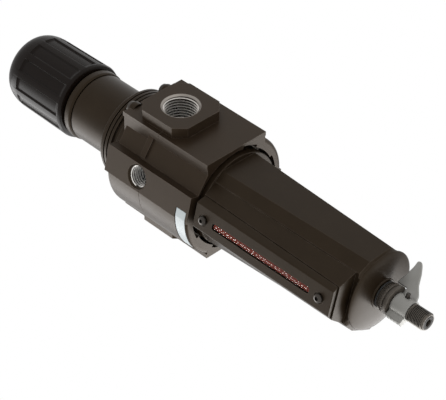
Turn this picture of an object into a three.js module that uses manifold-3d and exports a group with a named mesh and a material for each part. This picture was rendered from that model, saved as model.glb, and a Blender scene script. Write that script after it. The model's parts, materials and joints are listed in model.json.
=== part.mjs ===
// A 1/2 inch piggyback filter-regulator for compressed air, in millimetres, +Z up.
// The origin is where the port axis (X) crosses the body axis (Z). The front, with the gauge
// port and the bowl's sight gauge, looks along -Y turned by FRONT_TURN.

import * as THREE from 'three';
import { mergeVertices } from 'three/addons/utils/BufferGeometryUtils.js';
import Module from 'manifold-3d';

const wasm = await Module();
wasm.setup();

// ---------------------------------------------------------------- driving dimensions
const rad = THREE.MathUtils.degToRad;
const GAP = 0.3;                          // clearance between neighbouring pieces
const FRONT_TURN = rad(14);

const BODY = {
  radius: 36.5, top: 22, bottom: -42.6, plateX: 32.4, plateFront: 20.9, plateRear: 23.3, plateTop: 24.4,
  recess: 27.6,
  skirtRadius: 30, skirtTop: -15, notchRadius: 31.6, lipTop: -36, grooveTop: -29,
};
const CHAMBER_FLOOR = 12;
const PORT = { face: 38.8, half: 18, chamfer: 6.3, mouth: 11.2, bore: 10.3, depth: 17, passage: 7.5 };
const PAD = { distance: 35.6, half: 8.2, top: 23.4, z: -1.4, mouth: 7.4, bore: 6.5, depth: 18.5 };
const LABEL = { low: -40.8, high: -33.6, start: -2, end: rad(-140) };
const FACET = { distance: 31.2, azimuth: rad(-55.8), half: 20, step: 0.8 };
const DIAPHRAGM = { low: 22.3, top: 23.2 };
const BONNET = {
  base: 23.5, baseRadius: 27, threadRadius: 27.2, threadLow: 27.6, threadTop: 39.6, grooves: 4, depth: 1.4,
  radius: 20.6, collarSeat: 70.4, top: 76.6, bore: 17.4, ceiling: 72, neck: 14.4, neckTop: 94,
};
const EAR = {
  x: 29.5, y: 12, radius: 4.4, bridge: 3.4, seat: 21.5, top: 25.6, hole: 2.3, head: 3.7, headHeight: 2.8,
};
const KNOB = {
  bottom: 77.4, top: 131.4, radius: 23.4, collar: 21.5, hub: 9.5, hubLow: 96.2, roof: 100, socketTop: 112,
  panels: 12, firstPanel: rad(10.7), panelHalf: 3.9, panelDepth: 0.7,
};
const SCREW = { radius: 4.6, flange: 71.7 };
const FILTER = { inner: 12.6, outer: 16.4, top: -24.4, bottom: -66, deflectorTop: -15.3 };
const BOWL = {
  top: -18, collarRadius: 28.3, shoulder: -45, foot: -146, floor: -152.6, dome: 6.2,
  topRadius: 28.2, footRadius: 24.9, wallTop: 22.4, wallFoot: 19.4,
};
const LUGS = { angles: [22, 75, 202, 255].map(rad), lock: rad(25), halfAngle: rad(9), play: rad(1.5) };
const KEEL = { half: 12.3, topDepth: 27, footDepth: 30.6 };
const SIGHT = {
  half: 7.3, face: 33.9, top: -45.6, foot: -145.2, window: 2.1, windowTop: -59, windowFoot: -130,
  lip: 0.5, lens: 3.4, lensThickness: 0.6, screws: [-52.3, -137.2], screwDepth: 24.5,
};
const DRAIN = {
  stem: 4.2, tip: 5.15, tipTop: -172, end: -182.8, headLow: -149.6, nut: 8.5, nutLow: -161,
  lever: 23.3, turn: rad(46), pinTurn: rad(-40),
};

// ---------------------------------------------------------------- finishes
const finish = (color, roughness, metalness) => ({ color, roughness, metalness });
const PAINT = finish(0x2b2724, 0.45, 0.1);
const KNOB_PLASTIC = finish(0x1f1c1b, 0.4, 0.0);
const ZINC = finish(0xb9b6b0, 0.35, 0.9);
const STEEL = finish(0x8f8d8a, 0.35, 0.9);
const BRASS = finish(0xb08d4c, 0.35, 0.9);
const RUBBER = finish(0x171717, 0.8, 0.0);
const ACETAL = finish(0xe4e2da, 0.5, 0.0);
const FOIL = finish(0xdfe3e4, 0.4, 0.2);
const RED = finish(0xb5523f, 0.5, 0.0);
const LENS = finish(0xd8dcd8, 0.1, 0.0);
const DARK_METAL = finish(0x4d4843, 0.4, 0.6);

// ---------------------------------------------------------------- solid tools
/** A closed three.js geometry as a manifold solid. */
function solid(geometry) {
  const bare = geometry.index ? geometry.toNonIndexed() : geometry.clone();
  bare.deleteAttribute('normal');
  bare.deleteAttribute('uv');
  const merged = mergeVertices(bare, 1e-4);
  return new wasm.Manifold(new wasm.Mesh({
    numProp: 3,
    vertProperties: Float32Array.from(merged.attributes.position.array),
    triVerts: Uint32Array.from(merged.index.array),
  }));
}

/** A manifold solid as a three.js geometry. */
function geometryOf(manifold) {
  const mesh = manifold.getMesh();
  const geometry = new THREE.BufferGeometry();
  geometry.setAttribute('position', new THREE.BufferAttribute(Float32Array.from(mesh.vertProperties), 3));
  geometry.setIndex(new THREE.BufferAttribute(Uint32Array.from(mesh.triVerts), 1));
  geometry.computeVertexNormals();
  return geometry;
}

const union = (...solids) => solids.reduce((sum, next) => sum.add(next));
const cut = (from, ...tools) => tools.reduce((rest, tool) => rest.subtract(tool), from);

/** A body of revolution about Z from its section, listed as [radius, height] upwards on the outside. */
function turned(section, segments = 32) {
  const points = section.map(([r, z]) => new THREE.Vector2(r, z));
  return new THREE.LatheGeometry(points, segments).rotateX(Math.PI / 2);
}

/** A ring or tube about Z with a rectangular section. */
function tube(inner, outer, low, high, segments = 32) {
  return turned([[inner, low], [outer, low], [outer, high], [inner, high], [inner, low]], segments);
}

/** A rod along Z, tapered if a second radius is given. */
function rod(radius, low, high, segments = 32, topRadius = radius) {
  return new THREE.CylinderGeometry(topRadius, radius, high - low, segments)
    .rotateX(Math.PI / 2).translate(0, 0, (low + high) / 2);
}

/** A box from its lowest and highest corners. */
function block([x0, y0, z0], [x1, y1, z1]) {
  return new THREE.BoxGeometry(x1 - x0, y1 - y0, z1 - z0)
    .translate((x0 + x1) / 2, (y0 + y1) / 2, (z0 + z1) / 2);
}

/** A flat outline raised along Z. */
function plate(points, low, high) {
  const shape = new THREE.Shape(points.map(([x, y]) => new THREE.Vector2(x, y)));
  return new THREE.ExtrudeGeometry(shape, { depth: high - low, bevelEnabled: false, curveSegments: 8 })
    .translate(0, 0, low);
}

/** Points of a rectangle in the plane with its corners cut off. */
function cutCorners(half, chamfer) {
  const inner = half - chamfer;
  const corner = [[half, -inner], [half, inner], [inner, half], [-inner, half]];
  return corner.concat(corner.map(([x, y]) => [-x, -y]));
}

const alongX = (geometry) => geometry.rotateY(Math.PI / 2);
const toFront = (geometry) => geometry.rotateX(Math.PI / 2);   // +Z becomes -Y
const turnZ = (geometry, angle) => geometry.rotateZ(angle);
const halfTurn = (geometry) => geometry.clone().rotateZ(Math.PI);

/** The same tool at both ends of the body, half a turn apart. */
const bothSides = (geometry) => [solid(geometry), solid(halfTurn(geometry))];

/** A coil about Z with a round wire. */
class Coil extends THREE.Curve {
  constructor(radius, low, high, turns) {
    super();
    Object.assign(this, { radius, low, high, turns });
  }

  getPoint(t, target = new THREE.Vector3()) {
    const angle = t * this.turns * 2 * Math.PI;
    return target.set(
      this.radius * Math.cos(angle), this.radius * Math.sin(angle),
      this.low + t * (this.high - this.low),
    );
  }
}

function spring(radius, wire, low, high, turns, sides, stepsPerTurn) {
  const section = new THREE.Shape();
  for (let i = 0; i < sides; i += 1) {
    const angle = (2 * Math.PI * i) / sides;
    section[i ? 'lineTo' : 'moveTo'](wire * Math.cos(angle), wire * Math.sin(angle));
  }
  return new THREE.ExtrudeGeometry(section, {
    steps: turns * stepsPerTurn, bevelEnabled: false,
    extrudePath: new Coil(radius, low + wire, high - wire, turns),
  });
}

// ---------------------------------------------------------------- assembly
const regulator = new THREE.Group();
const bowlGroup = new THREE.Group();
bowlGroup.rotation.z = FRONT_TURN;
regulator.add(bowlGroup);

/** Adds one named piece, from a geometry or a manifold solid, to a group. */
function add(name, shape, look, group = regulator) {
  const geometry = shape.isBufferGeometry ? geometryOf(solid(shape)) : geometryOf(shape);
  const mesh = new THREE.Mesh(geometry, new THREE.MeshStandardMaterial(look));
  mesh.name = name;
  group.add(mesh);
  return mesh;
}

// ---------------------------------------------------------------- body casting
function portBoss() {
  return alongX(plate(cutCorners(PORT.half, PORT.chamfer), 20, PORT.face));
}

function portBore() {
  const end = PORT.face - PORT.depth;
  return alongX(turned([
    [0, end - 4], [PORT.passage, end], [PORT.bore, end],
    [PORT.bore, PORT.face - PORT.mouth + PORT.bore], [PORT.mouth, PORT.face],
    [PORT.mouth, PORT.face + 2], [0, PORT.face + 2],
  ]));
}

function gaugePad() {
  return turnZ(block([-PAD.half, -PAD.distance, BODY.bottom], [PAD.half, -26, PAD.top]), FRONT_TURN);
}

/** The barrel beyond the flats that carry the gauge ports, and beyond the port plates. */
function flatCuts() {
  const { radius, plateX, bottom, top } = BODY;
  const beyondPad = block([-PAD.half - 3, -radius - 5, bottom - 1], [PAD.half, -PAD.distance, top + 5]);
  const beyondPlate = block([plateX, -radius, bottom - 1], [radius + 5, radius, top + 5]);
  return [...bothSides(turnZ(beyondPad, FRONT_TURN)), ...bothSides(beyondPlate)];
}

/** The line of the front flat and the barrel at an offset, from the flat round towards -X. */
function wrapLine(offset, start, end) {
  const flat = PAD.distance + offset;
  const radius = BODY.radius + offset;
  const corner = Math.atan2(-flat, -Math.sqrt(radius ** 2 - flat ** 2));
  const arc = Array.from({ length: 9 }, (_, i) => corner + ((end - corner) * i) / 8);
  return [[start, -flat], ...arc.map((angle) => [radius * Math.cos(angle), radius * Math.sin(angle)])];
}

/** A band between two offsets from the front flat and the barrel. */
function wrapBand(inner, outer, start, end, low, high) {
  const outline = [...wrapLine(outer, start, end), ...wrapLine(inner, start, end).reverse()];
  return turnZ(plate(outline, low, high), FRONT_TURN);
}

function gaugeBore() {
  const end = PAD.distance - PAD.depth;
  const bore = turned([
    [0, end - 2], [PAD.bore, end], [PAD.bore, PAD.distance - PAD.mouth + PAD.bore],
    [PAD.mouth, PAD.distance], [PAD.mouth, PAD.distance + 2], [0, PAD.distance + 2],
  ], 32);
  return turnZ(toFront(bore).translate(0, 0, PAD.z), FRONT_TURN);
}

/** The flat between plate and pad, a little deeper above the step at mid height. */
function facetCuts() {
  const out = FACET.distance + 20;
  const lower = block([FACET.distance, -FACET.half, BODY.bottom - 1], [out, FACET.half, BODY.top + 1]);
  const upper = block([FACET.distance - FACET.step, -FACET.half, 0], [out, FACET.half, BODY.top + 1]);
  return [lower, upper].flatMap((tool) => bothSides(turnZ(tool, FACET.azimuth)));
}

/** A block that follows an arc about Z. */
function sector(inner, outer, low, high, centre, halfAngle) {
  const shape = new THREE.Shape();
  shape.absarc(0, 0, outer, centre - halfAngle, centre + halfAngle, false);
  shape.absarc(0, 0, inner, centre + halfAngle, centre - halfAngle, true);
  return new THREE.ExtrudeGeometry(shape, { depth: high - low, bevelEnabled: false, curveSegments: 6 })
    .translate(0, 0, low);
}

/** The bore for the bowl, with a notch and a locking groove for each of its bayonet lugs. */
function skirtCavity() {
  const { bottom, skirtRadius, skirtTop, notchRadius, lipTop, grooveTop } = BODY;
  const half = LUGS.halfAngle + LUGS.play;
  const ways = LUGS.angles.flatMap((angle) => [
    sector(28, notchRadius, bottom - 2, lipTop + 1, angle, half),
    sector(28, notchRadius, lipTop, grooveTop, angle - LUGS.lock / 2, half + LUGS.lock / 2),
  ]);
  return [rod(skirtRadius, bottom - 2, skirtTop), ...ways].map(solid);
}

/** Calls make(x, y) at the four bonnet screws. */
function atBonnetScrews(make) {
  const places = [[1, 1], [-1, 1], [-1, -1], [1, -1]];
  return places.flatMap(([sx, sy]) => make(sx * EAR.x, sy * EAR.y));
}

function screwPockets() {
  const half = EAR.bridge + 0.4;
  return atBonnetScrews((x, y) => [
    solid(rod(EAR.radius + 0.4, EAR.seat, 30, 20).translate(x, y, 0)),
    solid(rod(EAR.hole, EAR.seat - 12, 30, 12).translate(x, y, 0)),
    solid(turnZ(block([26, -half, BODY.top], [Math.hypot(x, y), half, 30]), Math.atan2(y, x))),
  ]);
}

function body() {
  const barrel = turned([
    [0, BODY.bottom], [BODY.radius - 1.2, BODY.bottom], [BODY.radius, BODY.bottom + 1.2],
    [BODY.radius, BODY.top - 4.5], [BODY.radius - 1, BODY.top - 1.8], [BODY.radius - 4.5, BODY.top],
    [0, BODY.top],
  ]);
  const plates = block(
    [-BODY.plateX, -BODY.plateFront, BODY.bottom], [BODY.plateX, BODY.plateRear, BODY.plateTop],
  );
  const shell = union(
    cut(solid(barrel), ...facetCuts(), ...flatCuts()), solid(plates),
    ...bothSides(portBoss()), ...bothSides(gaugePad()),
  );
  const recess = rod(BODY.recess, BODY.top, 30);
  const chamber = rod(21, CHAMBER_FLOOR, 30);
  const valveBore = rod(9.5, -20, 6, 28);
  const seatBore = rod(9.3, 5, 14, 28);
  const inletDrop = rod(5, -20, 0, 24).translate(20, 0, 0);
  const outletRise = rod(5, 0, 14, 24).translate(-16, 0, 0);
  const sensing = turnZ(rod(2, -3, 14, 16).translate(0, -19, 0), FRONT_TURN);
  return cut(
    shell, ...skirtCavity(), ...[recess, chamber, valveBore, seatBore, inletDrop, outletRise].map(solid),
    ...bothSides(portBore()), ...bothSides(gaugeBore()), ...bothSides(sensing), ...screwPockets(),
    solid(wrapBand(-0.8, 3, LABEL.start + 0.4, LABEL.end - 0.01, LABEL.low - 0.4, LABEL.high + 0.4)),
  );
}
add('body', body(), PAINT);

// ---------------------------------------------------------------- gauge plug and label
function gaugePlug() {
  const outside = PAD.distance - 0.6;
  const plug = turned([
    [0, outside - 11], [5.6, outside - 11], [6.2, outside - 10], [6.2, outside], [0, outside],
  ], 28);
  const socket = rod(3.6, outside - 5.5, outside + 1, 6);
  const place = (geometry) => turnZ(toFront(geometry).translate(0, 0, PAD.z), FRONT_TURN + Math.PI);
  return cut(solid(place(plug)), solid(place(socket)));
}
add('gauge_port_plug', gaugePlug(), STEEL);

add('label', wrapBand(-0.5, -0.2, LABEL.start, LABEL.end, LABEL.low, LABEL.high), FOIL);

// ---------------------------------------------------------------- bonnet
/** The bonnet's outside from its base to its neck, with the grooves of the panel thread. */
function bonnetSection() {
  const { base, baseRadius, threadRadius, threadLow, threadTop, grooves, depth } = BONNET;
  const section = [[BONNET.bore, base], [baseRadius, base], [baseRadius, threadLow]];
  const pitch = (threadTop - threadLow) / (grooves + 0.5);
  for (let i = 0; i < grooves; i += 1) {
    const z = threadLow + (i + 0.1) * pitch;
    section.push(
      [threadRadius, z], [threadRadius, z + 0.4 * pitch], [threadRadius - depth, z + 0.7 * pitch],
    );
  }
  return section.concat([
    [threadRadius, threadTop - 0.8], [threadRadius - 0.8, threadTop], [BONNET.radius, threadTop + 0.5],
    [BONNET.radius, BONNET.collarSeat], [BONNET.radius - 0.8, BONNET.collarSeat],
    [BONNET.radius - 0.8, BONNET.top - 0.5], [BONNET.radius - 1.3, BONNET.top],
    [BONNET.neck, BONNET.top], [BONNET.neck, BONNET.neckTop], [SCREW.radius + 0.4, BONNET.neckTop],
    [SCREW.radius + 0.4, BONNET.ceiling], [BONNET.bore, BONNET.ceiling], [BONNET.bore, base],
  ]);
}

function bonnet() {
  const ears = atBonnetScrews((x, y) => {
    const bridge = block([BONNET.bore + 4, -EAR.bridge, BONNET.base], [Math.hypot(x, y), EAR.bridge, EAR.top]);
    return [
      solid(rod(EAR.radius, EAR.seat + GAP, EAR.top, 20).translate(x, y, 0)),
      solid(turnZ(bridge, Math.atan2(y, x))),
    ];
  });
  const holes = atBonnetScrews((x, y) => solid(rod(EAR.hole, 20, EAR.top + 1, 12).translate(x, y, 0)));
  return cut(union(solid(turned(bonnetSection())), ...ears), ...holes);
}
add('bonnet', bonnet(), PAINT);
add('bonnet_collar', tube(
  BONNET.radius - 0.5, KNOB.collar, BONNET.collarSeat + GAP, BONNET.top - 0.7,
), DARK_METAL);

/** A socket-head screw with its head's underside at z = 0, pointing down. */
function socketScrew(head, height, shank, length, socket) {
  const screw = turned([
    [0, -length], [shank, -length], [shank, 0], [head, 0], [head, height * 0.5],
    [head * 0.6, height], [0, height],
  ], 14);
  return cut(solid(screw), solid(rod(socket, height * 0.35, height + 1, 6)));
}
const bonnetScrew = geometryOf(socketScrew(EAR.head, EAR.headHeight, 2, 14, 1.7));
atBonnetScrews((x, y) => [[x, y]]).reduce((number, place) => {
  add(`bonnet_screw_${number}`, bonnetScrew, STEEL).position.set(place[0], place[1], EAR.top + GAP);
  return number + 1;
}, 1);

// ---------------------------------------------------------------- knob and adjusting screw
function knob() {
  const { bottom, top, radius, hub, hubLow, roof, socketTop } = KNOB;
  const shell = turned([
    [0, socketTop], [5.2, socketTop], [5.2, hubLow], [hub, hubLow], [hub, roof],
    [BONNET.neck + 1, roof], [BONNET.neck + 1, bottom], [radius - 1.2, bottom], [radius, bottom + 3],
    [radius - 0.4, top - 14], [radius - 1.5, top - 7.5], [radius - 4.5, top - 2.8],
    [radius - 10, top - 0.5], [0, top],
  ]);
  const panels = [];
  for (let i = 0; i < KNOB.panels; i += 1) {
    const panel = block(
      [radius - KNOB.panelDepth, -KNOB.panelHalf, bottom + 4.5], [radius + 2, KNOB.panelHalf, top - 14],
    );
    panels.push(solid(turnZ(panel, KNOB.firstPanel + (2 * Math.PI * i) / KNOB.panels)));
  }
  return cut(solid(shell), ...panels);
}
add('adjusting_knob', knob(), KNOB_PLASTIC);

add('adjusting_screw', turned([
  [0, 42], [SCREW.radius - 1, 42], [SCREW.radius, 43], [SCREW.radius, SCREW.flange - 3.4],
  [9, SCREW.flange - 3.4], [9, SCREW.flange], [SCREW.radius, SCREW.flange],
  [SCREW.radius, BONNET.neckTop + GAP], [SCREW.radius - 0.8, BONNET.neckTop + GAP],
  [SCREW.radius - 0.8, BONNET.neckTop + 1.7], [SCREW.radius, BONNET.neckTop + 1.7],
  [SCREW.radius, 107], [SCREW.radius - 1, 108], [0, 108],
], 20), ZINC);
add('screw_retaining_ring', tube(
  SCREW.radius - 0.5, 7, BONNET.neckTop + 0.5, BONNET.neckTop + 1.5, 28,
), STEEL);
add('spring_nut', turned([
  [SCREW.radius + 0.4, 60], [16.6, 60], [16.6, 63.4], [9, 63.4], [9, 67.6], [SCREW.radius + 0.4, 67.6],
  [SCREW.radius + 0.4, 60],
], 28), ZINC);

// ---------------------------------------------------------------- range spring and diaphragm
add('range_spring', spring(12.8, 1.6, DIAPHRAGM.top + 2.6, 59.7, 5, 6, 14), STEEL);
add('diaphragm', tube(3.5, 26.8, DIAPHRAGM.low, DIAPHRAGM.top), RUBBER);
add('diaphragm_plate', turned([
  [3.5, DIAPHRAGM.top + GAP], [16, DIAPHRAGM.top + GAP], [16, DIAPHRAGM.top + 1.3],
  [15, DIAPHRAGM.top + 2.3], [3.5, DIAPHRAGM.top + 2.3], [3.5, DIAPHRAGM.top + GAP],
], 28), ZINC);
add('diaphragm_hub', turned([
  [1.1, DIAPHRAGM.low - 2.5], [9, DIAPHRAGM.low - 2.5], [9, DIAPHRAGM.low - GAP],
  [3.2, DIAPHRAGM.low - GAP], [3.2, DIAPHRAGM.top + 7], [1.1, DIAPHRAGM.top + 7],
  [1.1, DIAPHRAGM.low - 2.5],
], 24), BRASS);
add('diaphragm_nut', cut(
  solid(rod(6.2, DIAPHRAGM.top + 2.6, DIAPHRAGM.top + 5.6, 6)),
  solid(rod(3.5, DIAPHRAGM.top, DIAPHRAGM.top + 8, 20)),
), ZINC);

// ---------------------------------------------------------------- main valve
add('valve_seat', turned([
  [5, 8.2], [9, 8.2], [9, CHAMBER_FLOOR + GAP], [11.5, CHAMBER_FLOOR + GAP],
  [11.5, CHAMBER_FLOOR + 1.8], [5, CHAMBER_FLOOR + 1.8], [5, 8.2],
], 24), BRASS);
add('valve_poppet', turned([
  [0, -9], [3, -9], [3, 3], [7.2, 3], [7.2, 5.8], [1.5, 5.8], [1.5, 18.8], [0.8, DIAPHRAGM.low - 2.8],
  [0, DIAPHRAGM.low - 2.8],
], 24), BRASS);
add('poppet_seal', tube(1.8, 6.9, 6.1, 7.9, 24), RUBBER);
add('valve_spring', spring(5.4, 0.5, -6.2, 2.7, 4, 5, 10), STEEL);

function valveGuide() {
  const plug = turned([
    [0, -14.6], [9.2, -14.6], [9.2, -6.5], [3.3, -6.5], [3.3, -12.6], [0, -12.6],
  ], 24);
  const holes = [0, 1, 2, 3].map((i) => solid(
    turnZ(rod(1.6, -20, 0, 12).translate(6.3, 0, 0), (i * Math.PI) / 2),
  ));
  return cut(solid(plug), ...holes);
}
add('valve_guide', valveGuide(), ACETAL);

// ---------------------------------------------------------------- filter
function deflector() {
  const vanes = Array.from({ length: 8 }, (_, i) => {
    const vane = new THREE.BoxGeometry(8, 1.4, 7).rotateX(rad(38)).translate(17.6, 0, -20);
    return solid(turnZ(vane, (i * Math.PI) / 4));
  });
  const rings = union(
    solid(tube(12.8, 14.6, FILTER.top + GAP, FILTER.deflectorTop, 24)),
    solid(tube(20.6, 22.4, -23.4, -17.2, 24)),
  );
  return rings.add(vanes.reduce((sum, vane) => sum.add(vane)).subtract(solid(rod(13.5, -40, 0, 24))));
}
add('deflector', deflector(), ACETAL);
add('filter_element', tube(FILTER.inner, FILTER.outer, FILTER.bottom, FILTER.top, 28), ACETAL);
add('baffle', turned([
  [2.9, -76], [5.5, -76], [5.5, FILTER.bottom - 3.4], [17.4, FILTER.bottom - 3.4], [19, -76],
  [20.4, -76], [19, FILTER.bottom - GAP], [2.9, FILTER.bottom - GAP], [2.9, -76],
], 28), ACETAL);
add('filter_stud', rod(2.5, -81, -14.9, 12), STEEL);
add('baffle_nut', cut(solid(rod(5.2, -80, -76.3, 6)), solid(rod(2.9, -82, -75, 16))), BRASS);

// ---------------------------------------------------------------- bowl
/** A slab across the bowl's front, from its side outline as [distance to the front, height]. */
function frontSlab(outline, half, bevel) {
  const shape = new THREE.Shape(outline.map(([depth, z]) => new THREE.Vector2(depth, z)));
  const slab = new THREE.ExtrudeGeometry(shape, {
    depth: 2 * (half - bevel), bevelEnabled: bevel > 0, bevelSegments: 1,
    bevelThickness: bevel, bevelSize: bevel * 0.6, bevelOffset: -bevel * 0.6,
  }).translate(0, 0, bevel - half);
  const axes = new THREE.Matrix4().makeBasis(
    new THREE.Vector3(0, -1, 0), new THREE.Vector3(0, 0, 1), new THREE.Vector3(-1, 0, 0),
  );
  return slab.applyMatrix4(axes);
}

/** How far the keel's front stands from the bowl's axis at a height. */
function keelDepth(z) {
  const along = (BOWL.shoulder - z) / (BOWL.shoulder - BOWL.foot);
  return KEEL.topDepth + along * (KEEL.footDepth - KEEL.topDepth);
}

/** A shallow dome hanging from z = high. */
function dome(radius, depth, high) {
  const rings = [0, 22, 44, 66, 84].map(rad);
  const section = rings.map((angle) => [radius * Math.sin(angle), high - depth * Math.cos(angle)]);
  return turned([...section, [radius, high], [radius, high + 1], [0, high + 1]]);
}

/** A hole for a sight gauge screw, from the front inwards. */
function sightScrewHole(z, depth) {
  return toFront(rod(1.75, depth, 40, 16)).translate(0, 0, z);
}

function bowl() {
  const prism = rod(BOWL.footRadius, BOWL.foot, BOWL.shoulder, 7, BOWL.topRadius);
  const frontFlat = frontSlab([
    [KEEL.topDepth, BOWL.shoulder], [40, BOWL.shoulder], [40, BOWL.foot], [KEEL.footDepth, BOWL.foot],
  ], KEEL.half, 0);
  const sides = geometryOf(cut(solid(prism), solid(frontFlat)));
  const collar = rod(BOWL.collarRadius, BOWL.shoulder, BOWL.top);
  const keel = frontSlab([
    [8, BOWL.shoulder], [KEEL.topDepth, BOWL.shoulder], [KEEL.footDepth, BOWL.foot],
    [KEEL.footDepth - 1, BOWL.foot - 1.4], [22, BOWL.foot - 4.5], [8, BOWL.foot - 5],
  ], KEEL.half, 2.5);
  const boss = rod(8.8, BOWL.floor, BOWL.foot - 3, 24);
  const lugs = LUGS.angles.map((angle) => solid(sector(
    26, BODY.notchRadius - 0.5, BODY.lipTop + 0.5, BODY.lipTop + 5,
    angle - LUGS.lock - FRONT_TURN, LUGS.halfAngle,
  )));
  const outside = union(
    ...[sides, collar, keel, boss, dome(BOWL.footRadius - 0.2, BOWL.dome, BOWL.foot)].map(solid), ...lugs,
  );
  const inside = turned([
    [0, BOWL.foot], [BOWL.wallFoot, BOWL.foot], [BOWL.wallTop, BOWL.shoulder], [23.5, BOWL.shoulder + 4],
    [23.5, BOWL.top + 1], [0, BOWL.top + 1],
  ]);
  const window = block([-3.1, -36, SIGHT.windowFoot], [3.1, -16, SIGHT.windowTop]);
  const groove = tube(26.8, 30, -24.8, -21.2);
  return cut(
    outside, ...[inside, dome(BOWL.wallFoot, 4.5, BOWL.foot), window, groove].map(solid),
    solid(rod(DRAIN.stem + GAP, -160, -140, 24)),
    ...SIGHT.screws.map((z) => solid(sightScrewHole(z, SIGHT.screwDepth - 1))),
  );
}
add('bowl', bowl(), PAINT, bowlGroup);
add('bowl_oring', new THREE.TorusGeometry(28.35, 1.25, 6, 32).translate(0, 0, -23), RUBBER, bowlGroup);

// ---------------------------------------------------------------- sight gauge
function sightFrame() {
  const { top, foot, face, half, window, windowTop, windowFoot } = SIGHT;
  const frame = frontSlab([
    [keelDepth(top) + GAP, top], [face, top], [face, foot], [keelDepth(foot) + GAP, foot],
  ], half, 0.8);
  const opening = block([-window, -face - 2, windowFoot], [window, -20, windowTop]);
  const pocket = block(
    [-SIGHT.lens - GAP, SIGHT.lip - face, windowFoot - 3], [SIGHT.lens + GAP, -20, windowTop + 3],
  );
  const screwHoles = SIGHT.screws.map((z) => solid(sightScrewHole(z, 20)));
  return cut(solid(frame), solid(opening), solid(pocket), ...screwHoles);
}
add('sight_frame', sightFrame(), PAINT, bowlGroup);
const lensFace = SIGHT.lip + GAP - SIGHT.face;
const lensBack = lensFace + SIGHT.lensThickness;
add('sight_lens', block(
  [-SIGHT.lens, lensFace, SIGHT.windowFoot - 2.7], [SIGHT.lens, lensBack, SIGHT.windowTop + 2.7],
), LENS, bowlGroup);
add('level_indicator', block(
  [-SIGHT.window, lensBack + GAP, SIGHT.windowFoot + GAP],
  [SIGHT.window, lensBack + 2 * GAP, SIGHT.windowTop - GAP],
), RED, bowlGroup);
const sightScrew = geometryOf(socketScrew(2.6, 1.7, 1.4, SIGHT.face + GAP - SIGHT.screwDepth, 1.25))
  .rotateX(Math.PI / 2);
SIGHT.screws.forEach((z, i) => {
  add(`sight_screw_${i + 1}`, sightScrew, STEEL, bowlGroup).position.set(0, -SIGHT.face - GAP, z);
});

// ---------------------------------------------------------------- drain
add('drain_gasket', tube(DRAIN.stem + GAP, 7.8, BOWL.floor - 1.3, BOWL.floor - GAP, 24), RUBBER, bowlGroup);
function drainNut() {
  const { nut, nutLow } = DRAIN;
  const high = BOWL.floor - 1.6;
  const grooveStep = 2.4;
  const section = [[DRAIN.stem + GAP, nutLow], [nut - 0.6, nutLow], [nut, nutLow + 0.8]];
  for (let z = nutLow + 2.4; z < high - grooveStep; z += grooveStep) {
    section.push([nut, z], [nut - 0.9, z + 0.3], [nut - 0.9, z + 0.8], [nut, z + 1.1]);
  }
  return turned([...section, [nut, high - 0.5], [nut - 0.6, high], [DRAIN.stem + GAP, high],
    [DRAIN.stem + GAP, nutLow]], 24);
}
add('drain_nut', drainNut(), DARK_METAL, bowlGroup);
add('drain_stem', turned([
  [2, DRAIN.end], [DRAIN.tip - 0.7, DRAIN.end], [DRAIN.tip, DRAIN.end + 0.8], [DRAIN.tip, DRAIN.tipTop],
  [DRAIN.stem, DRAIN.tipTop], [DRAIN.stem, DRAIN.headLow], [7, DRAIN.headLow],
  [7, DRAIN.headLow + 2], [2, DRAIN.headLow + 2], [2, DRAIN.end],
], 24), DARK_METAL, bowlGroup);

/** The lever's blade or tail: a flat radial plate from its outline as [radius, height]. */
function radialPlate(outline, thickness) {
  const shape = new THREE.Shape(outline.map(([r, z]) => new THREE.Vector2(r, z)));
  return new THREE.ExtrudeGeometry(shape, { depth: thickness, bevelEnabled: false })
    .translate(0, 0, -thickness / 2).rotateX(Math.PI / 2);
}

function drainLever() {
  const { nutLow, tipTop, lever, nut } = DRAIN;
  const low = tipTop + GAP;
  const high = nutLow - GAP;
  const hub = rod(5.9, low, high, 28);
  const blade = radialPlate([
    [4, low + 1], [9, low + 2.6], [14, low + 5.4], [20.4, low + 9.8], [lever, low + 13.2],
    [lever - 0.4, low + 15.4], [nut + 0.5, low + 16.6], [nut + 0.5, high], [4, high],
  ], 2.2);
  const tail = radialPlate([[-9.2, low + 0.4], [-4, low + 0.4], [-4, high], [-9.2, high]], 4.4);
  const pinHole = turnZ(alongX(rod(1.5, 0, 10, 16)).translate(0, 0, (low + high) / 2), DRAIN.pinTurn);
  const stemWay = rod(DRAIN.stem + GAP, -190, -140, 28);
  return cut(union(solid(hub), solid(blade), solid(tail)), solid(stemWay), solid(pinHole));
}
const leverGroup = new THREE.Group();
leverGroup.rotation.z = DRAIN.turn;
bowlGroup.add(leverGroup);
add('drain_lever', drainLever(), DARK_METAL, leverGroup);
add('lever_set_screw', turnZ(alongX(rod(1.2, 4.9, 8.4, 14)).translate(
  0, 0, (DRAIN.nutLow + DRAIN.tipTop) / 2,
), DRAIN.pinTurn), STEEL, leverGroup);

export default regulator;
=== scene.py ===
"""A compressed-air filter-regulator: knob, bonnet, ported body, and a metal bowl with its gauge and drain.

Lengths in the builders are millimetres in the frame's axes; mesh_object() turns them into metres.
"""
import json
import math

import bmesh
import bpy
from mathutils import Matrix, Vector


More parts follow.
